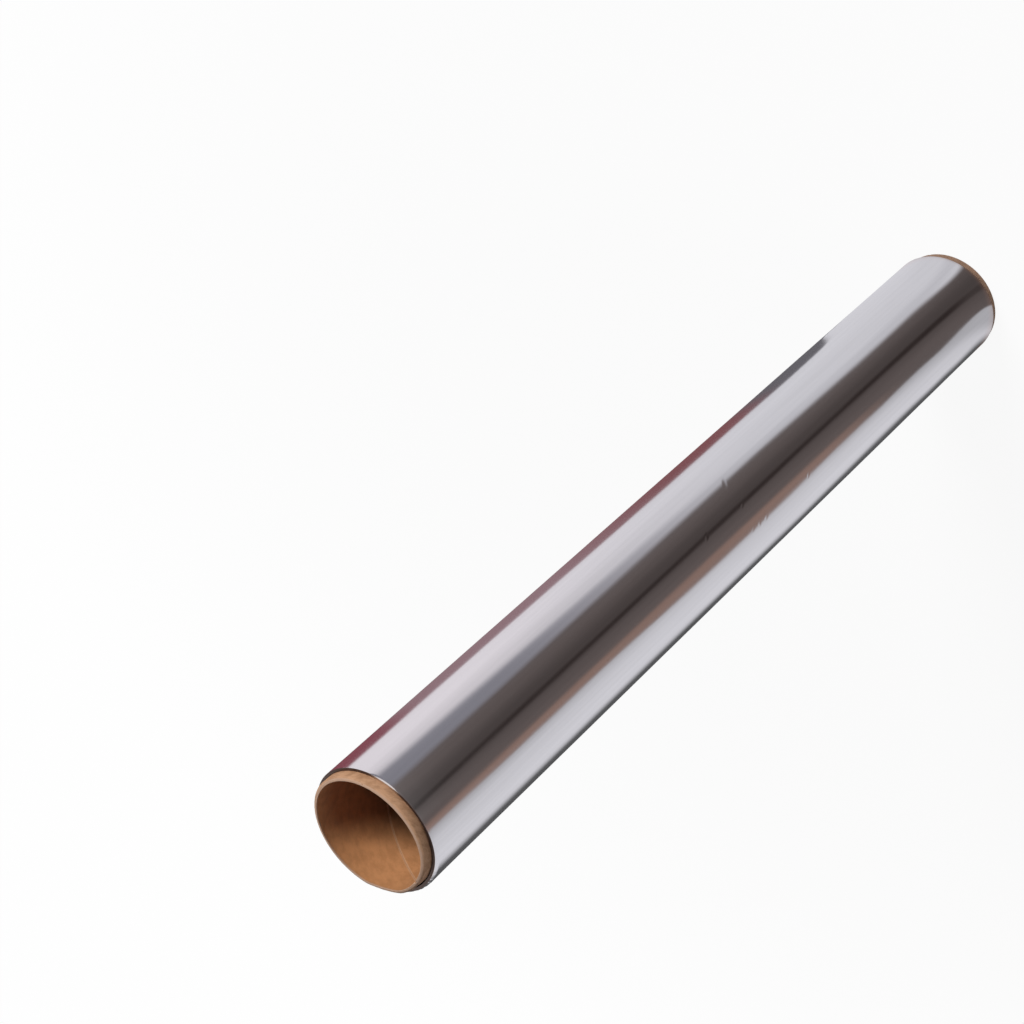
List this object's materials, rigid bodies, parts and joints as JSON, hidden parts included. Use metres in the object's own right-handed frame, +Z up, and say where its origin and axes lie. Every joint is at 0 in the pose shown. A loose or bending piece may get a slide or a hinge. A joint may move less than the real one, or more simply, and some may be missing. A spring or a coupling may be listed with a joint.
{
  "type": "aluminium foil roll",
  "caption": "Household aluminium foil roll: a long bright web of foil wound tight on a spiral-wound cardboard core that stands proud at both ends.",
  "frame": {"origin": "centre of the core's far end, the end that the roll stands on", "axes": "+Z up the roll's axis to the near end, which faces the viewer; +Y away from the viewer"},
  "size_m": [0.0368, 0.0367, 0.3076],
  "materials": {
    "kraft_cardboard": "matt brown kraft, pale where it is cut",
    "aluminium_foil": "bright side of rolled foil"
  },
  "bodies": {
    "root": {"cardboard_core": "kraft_cardboard", "foil_winding": "aluminium_foil"}
  },
  "joints": []
}
